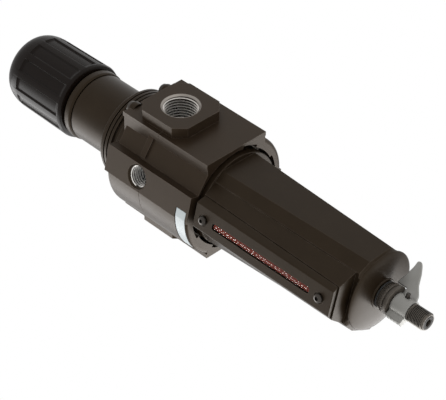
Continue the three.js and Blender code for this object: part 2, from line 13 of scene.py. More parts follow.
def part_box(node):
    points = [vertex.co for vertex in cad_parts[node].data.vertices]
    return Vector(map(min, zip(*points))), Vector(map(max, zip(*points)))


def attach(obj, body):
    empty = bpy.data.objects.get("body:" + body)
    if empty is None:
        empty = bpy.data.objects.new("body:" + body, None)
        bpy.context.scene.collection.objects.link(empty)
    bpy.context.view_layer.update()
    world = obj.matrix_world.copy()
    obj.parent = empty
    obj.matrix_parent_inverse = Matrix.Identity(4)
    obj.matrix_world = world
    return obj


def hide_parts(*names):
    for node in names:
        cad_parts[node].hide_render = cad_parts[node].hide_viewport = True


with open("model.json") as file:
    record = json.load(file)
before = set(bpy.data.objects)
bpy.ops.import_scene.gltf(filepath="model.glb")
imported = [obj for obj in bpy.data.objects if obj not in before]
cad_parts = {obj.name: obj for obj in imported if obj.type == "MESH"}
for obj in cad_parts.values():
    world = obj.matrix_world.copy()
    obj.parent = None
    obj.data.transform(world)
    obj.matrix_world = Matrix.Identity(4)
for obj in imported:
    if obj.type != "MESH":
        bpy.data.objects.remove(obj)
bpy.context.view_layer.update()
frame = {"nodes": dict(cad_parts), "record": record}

MM = 0.001
TAU = 2 * math.pi
FRONT_TURN = math.radians(14)       # the front looks along -Y turned by this


def limits(node):
    """A CAD node's lowest and highest corners in millimetres."""
    low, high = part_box(node)
    return [value / MM for value in low], [value / MM for value in high]


# ------------------------------------------------------------------ mesh tools
def link(obj):
    bpy.context.scene.collection.objects.link(obj)
    return obj


def mesh_object(name, vertices, faces, smooth_angle=35):
    data = bpy.data.meshes.new(name)
    data.from_pydata([tuple(c * MM for c in v) for v in vertices], [], faces)
    data.validate()
    obj = link(bpy.data.objects.new(name, data))
    shade(obj, smooth_angle)
    return obj


def shade(obj, smooth_angle=35):
    data = obj.data
    data.polygons.foreach_set("use_smooth", [True] * len(data.polygons))
    data.set_sharp_from_angle(angle=math.radians(smooth_angle))


def bake(obj):
    """Applies every modifier."""
    graph = bpy.context.evaluated_depsgraph_get()
    data = bpy.data.meshes.new_from_object(obj.evaluated_get(graph))
    obj.modifiers.clear()
    old = obj.data
    obj.data = data
    bpy.data.meshes.remove(old)
    return obj


def join_or_cut(target, tools, operation):
    for tool in tools:
        modifier = target.modifiers.new("boolean", "BOOLEAN")
        modifier.object = tool
        modifier.operation = operation
        modifier.solver = "EXACT"
        bake(target)
        bpy.data.objects.remove(tool)
    return target


def union(target, *tools):
    return join_or_cut(target, tools, "UNION")


def cut(target, *tools):
    return join_or_cut(target, tools, "DIFFERENCE")


def tidy(obj, distance=0.02):
    """Merges points that a join left almost on top of each other, and dissolves the edges inside flats."""
    mesh = bmesh.new()
    mesh.from_mesh(obj.data)
    bmesh.ops.remove_doubles(mesh, verts=mesh.verts, dist=distance * MM)
    bmesh.ops.dissolve_degenerate(mesh, edges=mesh.edges, dist=distance * MM)
    bmesh.ops.dissolve_limit(mesh, angle_limit=math.radians(0.6), verts=mesh.verts, edges=mesh.edges)
    mesh.to_mesh(obj.data)
    mesh.free()
    return obj


def crisp(obj, width=0.35, segments=2, angle=28):
    """Breaks the sharp edges of a casting and keeps its flats flat."""
    tidy(obj)
    bevel = obj.modifiers.new("bevel", "BEVEL")
    bevel.width = width * MM
    bevel.segments = segments
    bevel.limit_method = "ANGLE"
    bevel.angle_limit = math.radians(angle)
    bevel.miter_outer = "MITER_ARC"
    bake(obj)
    shade(obj, 50)
    weighted = obj.modifiers.new("weighted", "WEIGHTED_NORMAL")
    weighted.keep_sharp = True
    return bake(obj)


def rounded(points, radius, steps=3, closed=False):
    """Rounds a 2D line's corners."""
    count = len(points)
    result = []
    for i, point in enumerate(points):
        if not closed and i in (0, count - 1):
            result.append(tuple(point))
            continue
        here = Vector(point)
        before = Vector(points[i - 1]) - here
        after = Vector(points[(i + 1) % count]) - here
        if before.length < 1e-6 or after.length < 1e-6 or before.angle(after) > math.radians(172):
            result.append(tuple(point))
            continue
        reach = min(radius, 0.45 * before.length, 0.45 * after.length)
        start = here + before.normalized() * reach
        end = here + after.normalized() * reach
        for k in range(steps + 1):
            t = k / steps
            result.append(tuple(start * (1 - t) ** 2 + here * (2 * t * (1 - t)) + end * t ** 2))
    return result


def lathe(name, section, segments=96, radius_at=None, smooth_angle=35):
    """A body of revolution about Z from its section [(radius, height)], listed upwards on the outside.

    A section that ends off the axis closes on itself. radius_at(r, z, angle) may change a radius.
    """
    closed = section[0][0] > 1e-6
    vertices, faces, rows = [], [], []
    for r, z in section:
        if r < 1e-6:
            rows.append([len(vertices)])
            vertices.append((0, 0, z))
            continue
        row = []
        for i in range(segments):
            angle = TAU * i / segments
            here = radius_at(r, z, angle) if radius_at else r
            row.append(len(vertices))
            vertices.append((here * math.cos(angle), here * math.sin(angle), z))
        rows.append(row)
    pairs = list(zip(rows, rows[1:]))
    if closed:
        pairs.append((rows[-1], rows[0]))
    for low, high in pairs:
        for i in range(segments):
            k = (i + 1) % segments
            if len(low) == 1 and len(high) == 1:
                continue
            if len(low) == 1:
                faces.append((low[0], high[k], high[i]))
            elif len(high) == 1:
                faces.append((low[i], low[k], high[0]))
            else:
                faces.append((low[i], low[k], high[k], high[i]))
    return mesh_object(name, vertices, faces, smooth_angle)


def ring(name, inner, outer, low, high, edge=0.25, segments=96):
    corners = [(inner, low), (outer, low), (outer, high), (inner, high)]
    return lathe(name, rounded(corners, edge, 2, closed=True) if edge else corners, segments)


def rod(name, radius, low, high, segments=64, edge=0.0):
    section = [(0, low), (radius, low), (radius, high), (0, high)]
    return lathe(name, rounded(section, edge, 2) if edge else section, segments)


def loft(name, rings, smooth_angle=35):
    """A closed skin through rings that have the same number of points."""
    count = len(rings[0])
    vertices = [p for points in rings for p in points]
    faces = [tuple(range(count))[::-1], tuple(range(len(vertices) - count, len(vertices)))]
    for j in range(len(rings) - 1):
        for i in range(count):
            k = (i + 1) % count
            faces.append((j * count + i, j * count + k, (j + 1) * count + k, (j + 1) * count + i))
    return mesh_object(name, vertices, faces, smooth_angle)


def prism(name, outline, low, high):
    """A flat outline raised along Z."""
    return loft(name, [[(x, y, z) for x, y in outline] for z in (low, high)])


def block(name, low, high):
    x0, y0, z0 = low
    x1, y1, z1 = high
    return prism(name, [(x0, y0), (x1, y0), (x1, y1), (x0, y1)], z0, z1)


def sector(name, inner, outer, low, high, centre, half, steps=10):
    """A block that follows an arc about Z."""
    angles = [centre - half + 2 * half * i / steps for i in range(steps + 1)]
    outline = [(outer * math.cos(a), outer * math.sin(a)) for a in angles]
    outline += [(inner * math.cos(a), inner * math.sin(a)) for a in reversed(angles)]
    return prism(name, outline, low, high)


def moved(obj, matrix):
    obj.data.transform(matrix)
    if matrix.determinant() < 0:
        obj.data.flip_normals()
    return obj


def turned_z(obj, angle):
    return moved(obj, Matrix.Rotation(angle, 4, "Z"))


def shifted(obj, x, y, z):
    return moved(obj, Matrix.Translation((x * MM, y * MM, z * MM)))


def along_x(obj):
    """+Z becomes +X."""
    return moved(obj, Matrix.Rotation(math.pi / 2, 4, "Y"))


def to_front(obj, turn=0.0):
    """+Z becomes -Y, turned about Z by an angle."""
    return turned_z(moved(obj, Matrix.Rotation(math.pi / 2, 4, "X")), turn)


def copy_of(obj, name):
    twin = bpy.data.objects.new(name, obj.data.copy())
    return link(twin)


def both_sides(obj):
    """A tool and its copy half a turn round Z."""
    return [obj, turned_z(copy_of(obj, obj.name + "_twin"), math.pi)]


def thread(name, root, crest, pitch, low, high, shape, taper=0.0, segments=72, inside=False):
    """A helical thread about Z, inside a bore or round a bar.

    The shape says where its flanks start and end, as shares of the pitch. The crests and one flank, the one
    taken to face the light, use material slot 1; the rest use slot 0, where a darker look paints shade in the
    grooves.
    """
    profile = [(0.0, root), (shape[0], root), (shape[1], crest), (shape[2], crest), (shape[3], root)]
    width = len(profile)
    last = width - 1
    # faces taken to catch the light get slot 1, which is a painted highlight where its look is lighter
    lit_faces = (2, 3) if inside else (1, 2)
    steps = int((high - low) / pitch * segments)
    vertices, faces, slots = [], [], []
    for i in range(steps + 1):
        angle = TAU * i / segments
        base = low + pitch * i / segments
        for share, radius in profile:
            z = base + pitch * share
            r = radius + taper * (z - low)
            vertices.append((r * math.cos(angle), r * math.sin(angle), z))
    for i in range(steps):
        for j in range(last):
            a, b = i * width + j, (i + 1) * width + j
            face = (a, b, b + 1, a + 1)
            faces.append(face[::-1] if inside else face)
            slots.append(1 if j in lit_faces else 0)
        if i + segments <= steps:
            a, b = i * width + last, (i + 1) * width + last
            c, d = (i + segments) * width, (i + segments + 1) * width
            if d < (steps + 1) * width:
                face = (a, b, d, c)
                faces.append(face[::-1] if inside else face)
                slots.append(0)
    helix = mesh_object(name, vertices, faces, 40)
    helix.data.polygons.foreach_set("material_index", slots)
    return helix


# ------------------------------------------------------------------ materials
class Look:
    """A Principled material under construction."""

    def __init__(self, name):
        self.material = bpy.data.materials.new(name)
        self.material.use_nodes = True
        self.tree = self.material.node_tree
        self.shader = self.tree.nodes["Principled BSDF"]
        self.place = self.node("ShaderNodeTexCoord").outputs["Object"]

    def node(self, kind, **inputs):
        made = self.tree.nodes.new(kind)
        for key, value in inputs.items():
            self.put(made.inputs[key.replace("_", " ")], value)
        return made

    def put(self, socket, value):
        if isinstance(value, bpy.types.NodeSocket):
            self.tree.links.new(value, socket)
        else:
            socket.default_value = value

    def noise(self, scale, detail=4.0, roughness=0.55, stretch=None):
        place = self.place
        if stretch:
            mapping = self.node("ShaderNodeMapping", Vector=place)
            mapping.inputs["Scale"].default_value = stretch
            place = mapping.outputs["Vector"]
        made = self.node("ShaderNodeTexNoise", Vector=place)
        made.inputs["Scale"].default_value = scale
        made.inputs["Detail"].default_value = detail
        made.inputs["Roughness"].default_value = roughness
        return made.outputs["Fac"]

    def ramp(self, value, stops):
        made = self.node("ShaderNodeValToRGB", Fac=value)
        elements = made.color_ramp.elements
        while len(elements) < len(stops):
            elements.new(0.5)
        for element, (position, colour) in zip(elements, stops):
            element.position = position
            element.color = (*colour, 1.0) if len(colour) == 3 else colour
        return made.outputs["Color"]

    def span(self, value, low, high, to_low, to_high):
        made = self.node("ShaderNodeMapRange", Value=value)
        for key, number in (("From Min", low), ("From Max", high), ("To Min", to_low), ("To Max", to_high)):
            made.inputs[key].default_value = number
        return made.outputs["Result"]

    def mix(self, factor, a, b, blend="MIX"):
        made = self.tree.nodes.new("ShaderNodeMix")
        made.data_type = "RGBA"
        made.blend_type = blend
        for socket, value in zip((made.inputs[0], made.inputs[6], made.inputs[7]), (factor, a, b)):
            if isinstance(value, tuple) and len(value) == 3:
                value = (*value, 1.0)
            self.put(socket, value)
        return made.outputs[2]

    def math(self, operation, a, b):
        made = self.tree.nodes.new("ShaderNodeMath")
        made.operation = operation
        self.put(made.inputs[0], a)
        self.put(made.inputs[1], b)
        return made.outputs[0]

    def edges(self, reach=0.5):
        """1 on edges, where the paint is made paler as wear and as a painted highlight, 0 on flats."""
        rounded_off = self.node("ShaderNodeBevel")
        rounded_off.samples = 6
        rounded_off.inputs["Radius"].default_value = reach * MM
        straight = self.node("ShaderNodeNewGeometry").outputs["Normal"]
        across = self.tree.nodes.new("ShaderNodeVectorMath")
        across.operation = "DOT_PRODUCT"
        self.put(across.inputs[0], rounded_off.outputs["Normal"])
        self.put(across.inputs[1], straight)
        return self.span(across.outputs["Value"], 0.995, 0.94, 0.0, 1.0)

    def bump(self, heights, distance=0.0002, strength=0.5):
        made = self.node("ShaderNodeBump", Height=heights)
        made.inputs["Strength"].default_value = strength
        made.inputs["Distance"].default_value = distance
        self.put(self.shader.inputs["Normal"], made.outputs["Normal"])

    def set(self, **inputs):
        for key, value in inputs.items():
            if isinstance(value, tuple) and len(value) == 3:
                value = (*value, 1.0)
            self.put(self.shader.inputs[key.replace("_", " ")], value)
        return self


def paint_look(name, base, glow, rough=(0.33, 0.39), specular=0.16):
    """Satin coat over a casting: fine orange peel, faint mottling, edges made paler as wear and as a painted
    highlight.
    """
    look = Look(name)
    mottle = look.noise(55.0, 6.0, 0.7)
    peel = look.noise(1100.0, 3.0)
    colour = look.ramp(mottle, [(0.3, base), (0.7, glow)])
    # painted highlight: edges are made paler, partly as wear and partly as the light lines that lit edges
    # show
    wear_and_highlight = look.math("MULTIPLY", look.edges(), look.span(look.noise(160.0), 0.35, 0.65, 0.25, 0.8))
    wear_and_highlight_colour = tuple(min(1.0, c * 2.5 + 0.03) for c in glow)
    look.set(
        Base_Color=look.mix(wear_and_highlight, colour, wear_and_highlight_colour),
        Roughness=look.span(mottle, 0.3, 0.7, *rough),
        IOR=1.5, Specular_IOR_Level=specular, Specular_Tint=(1.0, 0.80, 0.60),
    )
    look.bump(peel, 0.00005, 0.3)
    return look.material


def metal_look(name, base, tint, rough=(0.22, 0.42), stretch=None, metallic=1.0, scale=160.0):
    """Bare machined or plated metal: fine marks, uneven dullness."""
    look = Look(name)
    streak = look.noise(scale, 6.0, 0.6, stretch)
    cloud = look.noise(30.0, 3.0)
    look.set(
        Base_Color=look.mix(look.span(cloud, 0.35, 0.65, 0.0, 1.0), base, tint),
        Roughness=look.span(streak, 0.3, 0.7, *rough), Metallic=metallic,
    )
    look.bump(streak, 0.00004, 0.4)
    return look.material


def plastic_look(name, base, glow, rough=(0.26, 0.36), grain=1400.0, specular=0.5):
    """Moulded plastic: faint flow marks and a fine grain."""
    look = Look(name)
    flow = look.noise(24.0, 3.0, 0.5, (1.0, 1.0, 0.35))
    grainy = look.noise(grain, 2.0)
    look.set(
        Base_Color=look.ramp(flow, [(0.3, base), (0.7, glow)]),
        Roughness=look.span(flow, 0.3, 0.7, *rough), IOR=1.49, Specular_IOR_Level=specular,
    )
    look.bump(grainy, 0.00003, 0.3)
    return look.material


PAINT = paint_look("satin_paint", (0.0125, 0.0080, 0.0045), (0.0165, 0.0108, 0.0062))
# painted light: a lighter copy of the satin paint, so the body reads brighter than the bowl in the same coat
BODY_PAINT_PAINTED_LIGHT = paint_look("body_paint_painted_light", (0.0180, 0.0115, 0.0070), (0.0230, 0.0150, 0.0092), (0.35, 0.42), 0.20)
# painted shade: a near-black copy of the satin paint for the grooves of the panel thread
GROOVE_PAINTED_SHADE = paint_look(
    "groove_painted_shade", (0.0025, 0.0018, 0.0012), (0.0040, 0.0030, 0.0020), (0.5, 0.6), 0.02)
KNOB = plastic_look(
    "knob_plastic", (0.0055, 0.0032, 0.0022), (0.0080, 0.0052, 0.0038), (0.26, 0.33), specular=0.10)
ZINC = metal_look("zinc_plate", (0.62, 0.61, 0.59), (0.72, 0.71, 0.69))
STEEL = metal_look("plain_steel", (0.42, 0.41, 0.40), (0.55, 0.54, 0.52))
CUT_MARKS = 320.0                    # scale of the fine marks on freshly cut metal
BARE = metal_look("bare_metal", (0.36, 0.34, 0.32), (0.52, 0.50, 0.47), (0.30, 0.46), scale=CUT_MARKS)
# painted light in the ports' threads: darker grooves as painted shade, lighter crests and lit flanks as a
# painted highlight
PORT_GROOVE_SHADE = metal_look(
    "port_grooves_painted_shade", (0.17, 0.155, 0.14), (0.25, 0.235, 0.215), (0.34, 0.46), scale=CUT_MARKS)
PORT_CREST_HIGHLIGHT = metal_look("port_crests_painted_highlight", (0.46, 0.43, 0.40), (0.60, 0.57, 0.54), (0.24, 0.32), scale=CUT_MARKS)
# painted highlight: near-white crests for the gauge port's threads
GAUGE_CREST_HIGHLIGHT = metal_look(
    "gauge_crests_painted_highlight", (0.80, 0.77, 0.73), (0.92, 0.90, 0.87), (0.45, 0.60), metallic=0.85, scale=CUT_MARKS)
PORT_RIM = metal_look("port_rims", (0.22, 0.20, 0.18), (0.36, 0.33, 0.30), (0.30, 0.42), scale=CUT_MARKS)
DRAIN_CREST = metal_look(
    "drain_crests", (0.055, 0.050, 0.043), (0.090, 0.083, 0.073), (0.22, 0.36), scale=CUT_MARKS)
# painted shade: a near-black look for thread grooves and the drain tip's end face
GROOVE_SHADE_DARK = metal_look(
    "near_black_painted_shade", (0.006, 0.005, 0.004), (0.012, 0.010, 0.008), (0.5, 0.7), metallic=0.6, scale=CUT_MARKS)
SCREW = metal_look("dull_screws", (0.030, 0.026, 0.022), (0.055, 0.048, 0.042), (0.24, 0.36), metallic=0.8)
BRASS = metal_look("brass", (0.66, 0.50, 0.24), (0.78, 0.60, 0.32))
DRAIN = metal_look(
    "phosphated_metal", (0.055, 0.045, 0.036), (0.095, 0.082, 0.068), (0.26, 0.40), metallic=0.5)
# painted reflection: the drain metal made much lighter on the lever, for the light its wing catches
LEVER_PAINTED_REFLECTION = metal_look("lever_painted_reflection", (0.21, 0.205, 0.19), (0.29, 0.285, 0.27), (0.34, 0.48), metallic=0.5)
RUBBER = plastic_look("nitrile_rubber", (0.012, 0.012, 0.012), (0.022, 0.022, 0.022), (0.55, 0.75), 600.0)
ACETAL = plastic_look("acetal", (0.74, 0.73, 0.68), (0.84, 0.83, 0.79), (0.38, 0.52), 500.0)
FOIL = plastic_look("blank_foil", (0.33, 0.37, 0.38), (0.42, 0.46, 0.47), (0.3, 0.42), 700.0)
INDICATOR = plastic_look(
    "indicator_red", (0.115, 0.022, 0.015), (0.165, 0.036, 0.025), (0.55, 0.7), 500.0, 0.03)
DOT = plastic_look("indicator_dots", (0.42, 0.30, 0.27), (0.52, 0.40, 0.36), (0.55, 0.7), 500.0, 0.05)


def lens_look():
    look = Look("clear_lens")
    haze = look.noise(60.0)
    look.set(
        Base_Color=look.ramp(haze, [(0.3, (0.93, 0.95, 0.94)), (0.7, (0.97, 0.98, 0.97))]),
        Roughness=look.span(haze, 0.3, 0.7, 0.10, 0.18), IOR=1.49, Transmission_Weight=1.0, Alpha=0.04,
        Specular_IOR_Level=0.1,
    )
    look.bump(look.noise(300.0), 0.00002, 0.2)
    return look.material


LENS = lens_look()
SLOT_LOOKS = {
    "housing_paint": PAINT, "knob_plastic": KNOB, "zinc_plate": ZINC, "steel": STEEL, "brass": BRASS,
    "rubber": RUBBER, "acetal": ACETAL, "label_foil": FOIL, "indicator_red": INDICATOR,
    "lens_clear": LENS, "drain_metal": DRAIN,
}
for part in frame["record"]["subparts"]:
    node = frame["nodes"][part["node"]]
    node.data.materials.clear()
    node.data.materials.append(SLOT_LOOKS[part["material_slot"]])


def piece(obj, look, slot, body, *replaced):
    """Gives a finished piece its look or looks, its body and the CAD nodes it stands for."""
    chosen = [polygon.material_index for polygon in obj.data.polygons]
    obj.data.materials.clear()
    for each in look if isinstance(look, tuple) else (look,):
        obj.data.materials.append(each)
    if isinstance(look, tuple):
        obj.data.polygons.foreach_set("material_index", chosen)
    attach(obj, body)
    if replaced:
        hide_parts(*replaced)
    return obj


# ------------------------------------------------------------------ body casting
BODY_LOW, BODY_HIGH = limits("body")
PORT_FACE = BODY_HIGH[0]
SKIRT_Z = BODY_LOW[2]
PLATE_X, PLATE_FRONT, PLATE_REAR, PLATE_TOP = 32.4, 20.9, 23.3, BODY_HIGH[2]
FLANGE = 2.7                 # thickness of the machined flange round each plate
WEB_BACK = 0.45              # how far the casting is set back between the flanges
BARREL_R, BARREL_TOP = 36.2, 22.0
PAD_DISTANCE, PAD_HALF, PAD_TOP = 35.6, 8.2, 23.4
FACET_DISTANCE, FACET_HALF, FACET_AZIMUTH = 31.2, 20.0, math.radians(-55.8)
FACET_STEP, FACET_STEP_Z = 0.8, 3.4
BOSS_HALF, BOSS_CHAMFER = 18.0, 6.3
PORT_MOUTH, PORT_BORE, PORT_DEPTH, PORT_PASSAGE = 11.2, 10.3, 17.0, 7.5
PORT_PITCH, PORT_TAPER, PORT_SHAPE = 1.81, 0.03, (0.12, 0.44, 0.56, 0.88)
GAUGE_Z, GAUGE_MOUTH, GAUGE_BORE, GAUGE_DEPTH, GAUGE_PASSAGE = -1.4, 7.4, 6.5, 18.5, 4.0
GAUGE_PITCH, GAUGE_TAPER, GAUGE_SHAPE = 1.6, 0.02, (0.26, 0.46, 0.60, 0.80)
SEAM_LOW, SEAM_HIGH, SEAM_DEPTH = -4.65, -4.35, 0.35
DIAPHRAGM_R, CHAMBER_R, VALVE_BORE = 27.6, 21.0, 9.5
EARS = [(29.5, 12.0), (-29.5, 12.0), (-29.5, -12.0), (29.5, -12.0)]
EAR_TOP, EAR_R, EAR_HOLE, BRIDGE_HALF = 25.6, 4.4, 2.3, 3.4
EAR_GAP = 0.4                # gap between the bonnet's ears and their pockets
LABEL_LOW, LABEL_HIGH, LABEL_START, LABEL_END = -40.8, -33.6, -2.0, math.radians(-140)
LABEL_GAP = 0.4
LUG_ANGLES = [math.radians(a) for a in (22, 75, 202, 255)]
SKIRT_BORE, NOTCH_IN, NOTCH_OUT, NOTCH_TOP, NOTCH_HALF = 30.0, 28.0, 31.6, -35.0, math.radians(10.5)
GROOVE_LOW, GROOVE_TOP, GROOVE_HALF, GROOVE_LAG = -36.0, -29.0, math.radians(23), math.radians(12.5)
CUT_TOP = 30.0               # cutters that open upwards end here


def port_tool(name, mouth, bore, face, depth, passage):
    """The cutter for a threaded port along +Z: chamfered mouth, bore, drill point and passage."""
    section = [
        (0, face - depth - 4), (passage, face - depth), (bore, face - depth),
        (bore, face - (mouth - bore)), (mouth, face), (mouth, face + 3), (0, face + 3),
    ]
    return lathe(name, section, 96)


def plate_part():
    """The two side plates: machined flanges with the casting set back between them."""
    web = block(
        "plates", (-PLATE_X + 1, WEB_BACK - PLATE_FRONT, SKIRT_Z),
        (PLATE_X - 1, PLATE_REAR - WEB_BACK, PLATE_TOP - 0.4))
    for inner, outer in ((PLATE_X - FLANGE, PLATE_X), (-PLATE_X, FLANGE - PLATE_X)):
        union(web, block("flange", (inner, -PLATE_FRONT, SKIRT_Z), (outer, PLATE_REAR, PLATE_TOP)))
    return web


def boss_part():
    """The eight-sided boss round a port, along +X."""
    inner = BOSS_HALF - BOSS_CHAMFER
    corner = [(BOSS_HALF, -inner), (BOSS_HALF, inner), (inner, BOSS_HALF), (-inner, BOSS_HALF)]
    outline = corner + [(-a, -b) for a, b in corner]
    return along_x(prism("boss", outline, 22.0, PORT_FACE))


def wrap_line(offset, start, end):
    """The line of the front flat and the barrel at an offset, from the flat round towards -X."""
    flat, radius = PAD_DISTANCE + offset, BARREL_R + offset
    corner = math.atan2(-flat, -math.sqrt(radius ** 2 - flat ** 2))
    arc = [corner + (end - corner) * k / 24 for k in range(25)]
    return [(start, -flat)] + [(radius * math.cos(a), radius * math.sin(a)) for a in arc]


def wrap_band(name, inner, outer, start, end, low, high):
    """A band round the front flat and the barrel, between two offsets and two heights."""
    outline = wrap_line(inner, start, end) + wrap_line(outer, start, end)[::-1]
    return turned_z(prism(name, outline, low, high), FRONT_TURN)


def body_casting():
    barrel = lathe("body_casting", rounded([
        (0, SKIRT_Z), (BARREL_R, SKIRT_Z), (BARREL_R, BARREL_TOP), (0, BARREL_TOP)], 2.4, 5), 160)
    far = (FACET_DISTANCE + 20, FACET_HALF, BARREL_TOP + 1)
    lower = block("facet", (FACET_DISTANCE, -FACET_HALF, SKIRT_Z - 1), far)
    upper = block("facet_step", (FACET_DISTANCE - FACET_STEP, -FACET_HALF, FACET_STEP_Z), far)
    pad_flat = block("pad_flat", (-PAD_HALF - 3, -BARREL_R - 5, SKIRT_Z - 1), (PAD_HALF, -PAD_DISTANCE, 27))
    plate_flat = block("plate_flat", (PLATE_X - 0.5, -BARREL_R, SKIRT_Z - 1), (BARREL_R + 5, BARREL_R, 27))
    flats = ((lower, FACET_AZIMUTH), (upper, FACET_AZIMUTH), (pad_flat, FRONT_TURN), (plate_flat, 0.0))
    for tool, turn in flats:
        cut(barrel, *both_sides(turned_z(tool, turn)))
    rib = block("rib", (FACET_DISTANCE - 2, -1.5, -0.2), (FACET_DISTANCE + 1.1, 10.9, 3.6))
    pad = block("pad", (-PAD_HALF, -PAD_DISTANCE, SKIRT_Z), (PAD_HALF, -24, PAD_TOP))
    union(
        barrel, plate_part(), *both_sides(turned_z(rib, FACET_AZIMUTH)),
        *both_sides(turned_z(pad, FRONT_TURN)), *both_sides(boss_part()),
    )
    seam = ring("seam", BARREL_R - SEAM_DEPTH, BARREL_R + 2, SEAM_LOW, SEAM_HIGH, 0.0, 128)
    recess = wrap_band(
        "label_recess", -0.8, 3, LABEL_START + LABEL_GAP, LABEL_END - 0.01,
        LABEL_LOW - LABEL_GAP, LABEL_HIGH + LABEL_GAP)
    tools = [recess, seam, rod("skirt", SKIRT_BORE, SKIRT_Z - 2, -15, 128)]
    for angle in LUG_ANGLES:
        tools.append(sector("notch", NOTCH_IN, NOTCH_OUT, SKIRT_Z - 2, NOTCH_TOP, angle, NOTCH_HALF))
        lagging = angle - GROOVE_LAG
        tools.append(sector("groove", NOTCH_IN, NOTCH_OUT, GROOVE_LOW, GROOVE_TOP, lagging, GROOVE_HALF))
    port = port_tool("port", PORT_MOUTH, PORT_BORE, PORT_FACE, PORT_DEPTH, PORT_PASSAGE)
    tools += both_sides(along_x(port))
    gauge = port_tool("gauge_port", GAUGE_MOUTH, GAUGE_BORE, PAD_DISTANCE, GAUGE_DEPTH, GAUGE_PASSAGE)
    tools += both_sides(shifted(to_front(gauge, FRONT_TURN), 0, 0, GAUGE_Z))
    tools.append(rod("diaphragm_recess", DIAPHRAGM_R, BARREL_TOP, CUT_TOP, 96))
    tools.append(rod("chamber", CHAMBER_R, 12, CUT_TOP, 96))
    tools.append(rod("valve_bore", VALVE_BORE, -20, 13, 64))
    for x, y in EARS:
        tools.append(shifted(rod("pocket", EAR_R + EAR_GAP, 21.5, CUT_TOP, 40), x, y, 0))
        tools.append(shifted(rod("screw_hole", EAR_HOLE, 9.5, CUT_TOP, 24), x, y, 0))
        half = BRIDGE_HALF + EAR_GAP
        bridge = block("bridge_way", (26, -half, BARREL_TOP), (math.hypot(x, y), half, CUT_TOP))
        tools.append(turned_z(bridge, math.atan2(y, x)))
    cut(barrel, *tools)
    return crisp(barrel, 0.4, 3)


# the body takes the lighter copy of the satin paint, which is painted light
piece(body_casting(), BODY_PAINT_PAINTED_LIGHT, "housing_paint", "housing", "body")


def thread_lining(name, bore, face, depth, pitch, taper, shape):
    """Cut threads inside a port along +Z, from its depth to a little below its mouth."""
    root = bore - 0.12
    crest = root - 0.62 * pitch
    return thread(name, root, crest, pitch, face - depth, face - 0.7 - pitch, shape, taper, inside=True)


def mouth_ring(name, mouth, bore, face):
    """The chamfer at a port's mouth."""
    slope = mouth - bore
    inner, outer = bore - 0.25, bore - 0.05
    section = [
        (inner, face - slope - 1.2), (outer, face - slope - 1.2), (outer, face - slope - 0.1),
        (mouth - 0.05, face - 0.06), (mouth - 0.2, face), (inner, face - slope - 0.1),
    ]
    return lathe(name, section, 96)


def port_floor(name, bore, face, depth, passage):
    """The bare step and drill point at the bottom of a threaded port."""
    bottom = face - depth
    wall = bore - 0.1
    section = [(0, bottom - 3.8), (passage, bottom + 0.1), (wall, bottom + 0.15), (wall, bottom + 1.6)]
    return lathe(name, section + [(r + 0.08, z) for r, z in section[:0:-1]], 96)


for label, turn in (("inlet", 0.0), ("outlet", math.pi)):
    threads = thread_lining(
        f"{label}_threads", PORT_BORE, PORT_FACE, PORT_DEPTH - 0.5, PORT_PITCH, PORT_TAPER, PORT_SHAPE)
    rim = mouth_ring(f"{label}_mouth", PORT_MOUTH, PORT_BORE, PORT_FACE)
    bottom = port_floor(f"{label}_floor", PORT_BORE, PORT_FACE, PORT_DEPTH, PORT_PASSAGE)
    # the port threads take painted shade in the grooves and a painted highlight on the crests
    for item, look in ((threads, (PORT_GROOVE_SHADE, PORT_CREST_HIGHLIGHT)), (rim, PORT_RIM), (bottom, BARE)):
        piece(turned_z(along_x(item), turn), look, "zinc_plate", "housing")
gauge_threads = thread_lining(
    "gauge_port_threads", GAUGE_BORE, PAD_DISTANCE, GAUGE_DEPTH - 1, GAUGE_PITCH, GAUGE_TAPER, GAUGE_SHAPE)
gauge_threads = shifted(to_front(gauge_threads, FRONT_TURN), 0, 0, GAUGE_Z)
gauge_rim = mouth_ring("gauge_port_mouth", GAUGE_MOUTH, GAUGE_BORE, PAD_DISTANCE)
gauge_rim = shifted(to_front(gauge_rim, FRONT_TURN), 0, 0, GAUGE_Z)
# the gauge port's threads take painted shade in the grooves and a painted highlight on the crests
piece(gauge_threads, (GROOVE_SHADE_DARK, GAUGE_CREST_HIGHLIGHT), "zinc_plate", "housing")
piece(gauge_rim, PAINT, "housing_paint", "housing")


def hexagon(radius, turn=0.0):
    angles = [TAU * k / 6 + turn for k in range(6)]
    return [(radius * math.cos(a), radius * math.sin(a)) for a in angles]


def gauge_plug():
    """The socket plug in the rear gauge port."""
    outside = PAD_DISTANCE - 0.6
    section = [(0, outside - 11), (5.7, outside - 11), (6.2, outside - 8), (6.2, outside), (0, outside)]
    plug = lathe("gauge_port_plug", rounded(section, 0.5, 3), 64)
    cut(plug, prism("socket", hexagon(3.6), outside - 5.5, outside + 1))
    return shifted(to_front(crisp(plug, 0.15, 2), FRONT_TURN + math.pi), 0, 0, GAUGE_Z)


piece(gauge_plug(), SCREW, "steel", "housing", "gauge_port_plug")


def label_foil():
    """A blank foil in its recess on the front flat and round the barrel."""
    band = wrap_band("label_blank", -0.5, -0.2, LABEL_START, LABEL_END, LABEL_LOW, LABEL_HIGH)
    return crisp(band, 0.1, 2, 50)


piece(label_foil(), FOIL, "label_foil", "housing", "label")


# ------------------------------------------------------------------ bonnet
BONNET_R, BONNET_BORE, BONNET_FOOT = 20.6, 17.4, 23.5
NECK_TOP, SHOULDER_TOP, SCREW_WAY = 70.2, 76.6, 5.0
THREAD_LOW, THREAD_TOP, THREAD_R, THREAD_CORE, THREAD_ROOT = 27.6, 39.6, 27.2, 26.0, 26.1
PANEL_PITCH, PANEL_SHAPE = 2.6, (0.11, 0.21, 0.79, 0.89)


